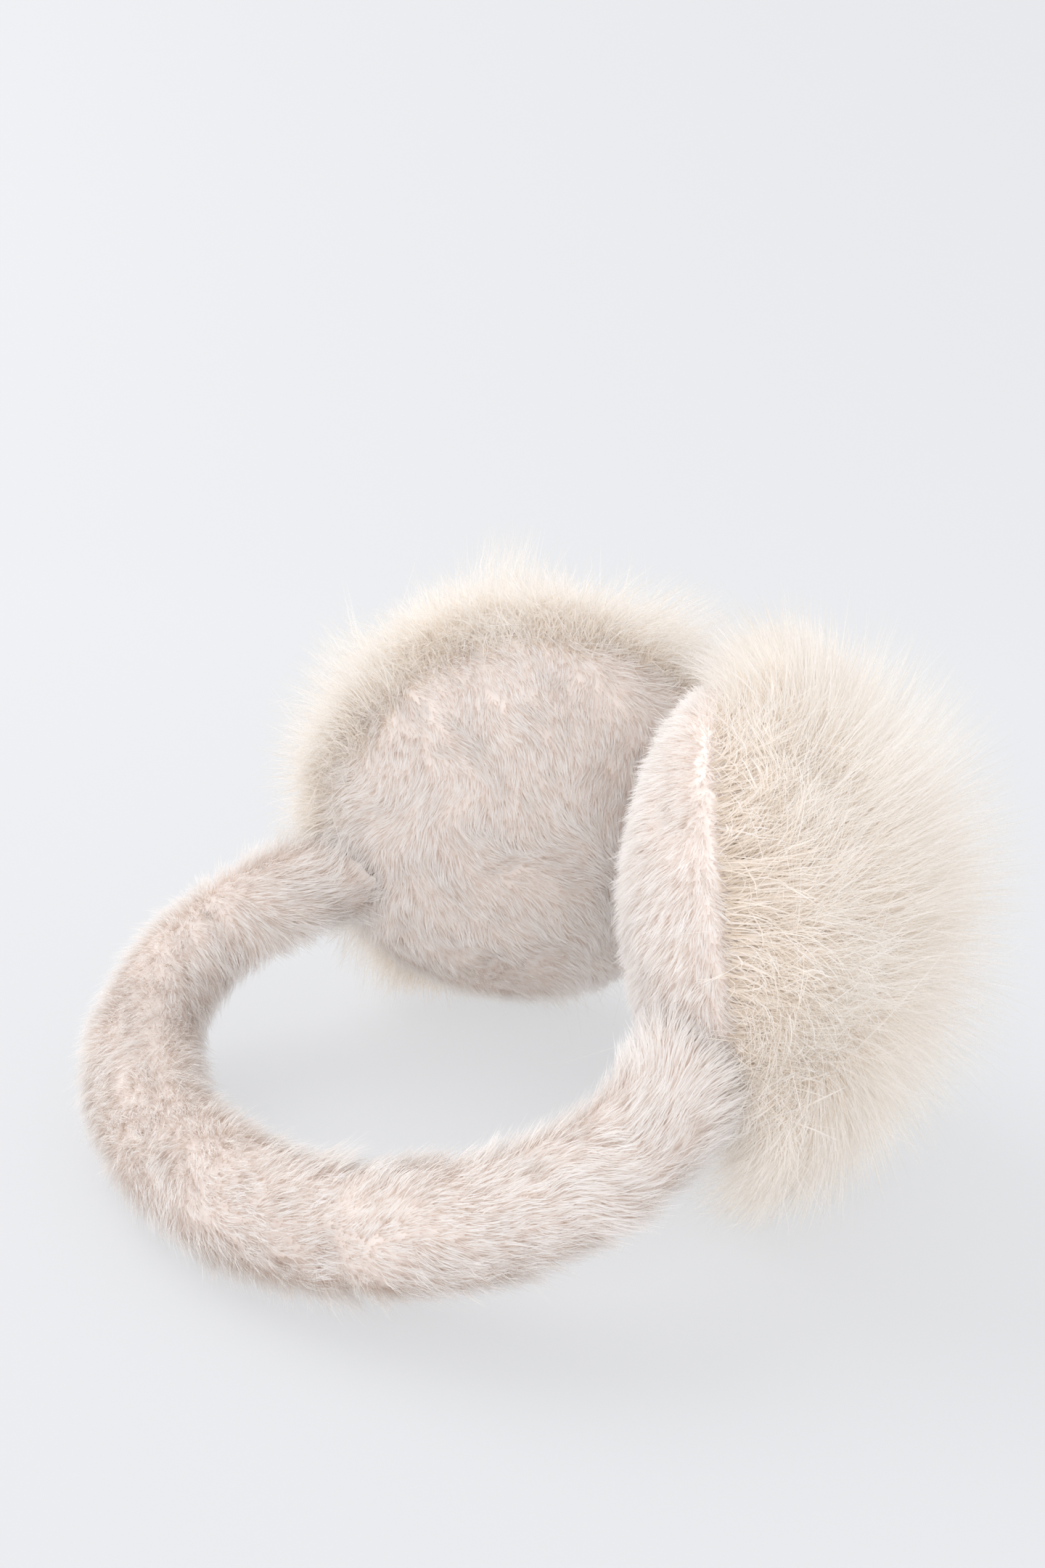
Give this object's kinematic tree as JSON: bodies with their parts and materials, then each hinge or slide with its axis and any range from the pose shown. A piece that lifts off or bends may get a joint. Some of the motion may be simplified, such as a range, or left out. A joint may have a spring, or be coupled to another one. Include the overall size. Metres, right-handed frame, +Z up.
{
  "type": "fur earmuffs",
  "caption": "Plush earmuffs lying on a table: a C-shaped padded headband with a domed cushion and a long-haired fur cover on each ear pad.",
  "frame": {"origin": "under the middle of the bounding box, on the table that the earmuffs lie on", "axes": "+Z up from the table, -Y towards the crown of the headband, +X towards the wearer's right-hand pad as seen from the crown, so the pads are at +X and -X"},
  "size_m": [0.2036, 0.196, 0.1307],
  "materials": {
    "plush": "short cream plush pile with a faint rose tint",
    "long_fur": "long faux-fur hair, tan at the roots and cream at the tips"
  },
  "bodies": {
    "root": {"headband": "plush", "ear_cushion_left": "plush", "ear_cushion_right": "plush", "fur_cover_left": "long_fur", "fur_cover_right": "long_fur"}
  },
  "joints": []
}
